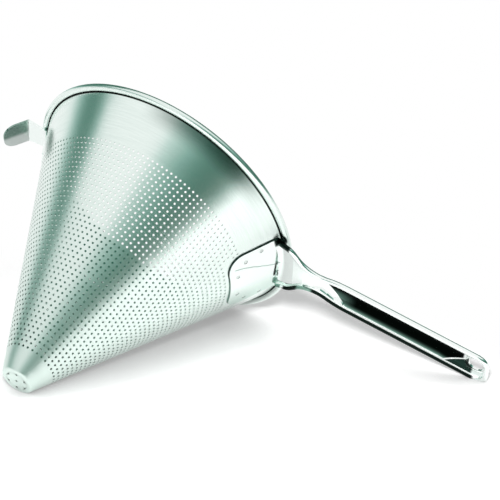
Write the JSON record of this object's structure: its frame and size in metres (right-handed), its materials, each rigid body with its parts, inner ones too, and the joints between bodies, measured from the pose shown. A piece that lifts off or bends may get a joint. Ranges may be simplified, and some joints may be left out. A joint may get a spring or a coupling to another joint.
{
  "type": "chinois strainer",
  "caption": "Cone-shaped steel strainer with fine perforations, a rolled rim, a stamped handle with a hollow grip and hanging hole, and a support hook opposite the handle",
  "frame": {"origin": "Centre of the mouth, level with the top of the rolled rim", "axes": "+Z points out of the mouth along the cone's axis, so the tip is at the bottom. +X runs along the handle, away from the cone. The support hook is on the -X side."},
  "size_m": [0.3736, 0.2, 0.18],
  "materials": {
    "cone_steel": "satin, drawn sheet",
    "wire_steel": "drawn wire",
    "handle_steel": "polished",
    "hook_steel": "polished",
    "weld_steel": "flattened spot weld"
  },
  "bodies": {
    "root": {"strainer_cone": "cone_steel", "rim_wire": "wire_steel", "handle": "handle_steel", "support_hook": "hook_steel", "handle_spot_welds": "weld_steel", "hook_spot_welds": "weld_steel"}
  },
  "joints": []
}
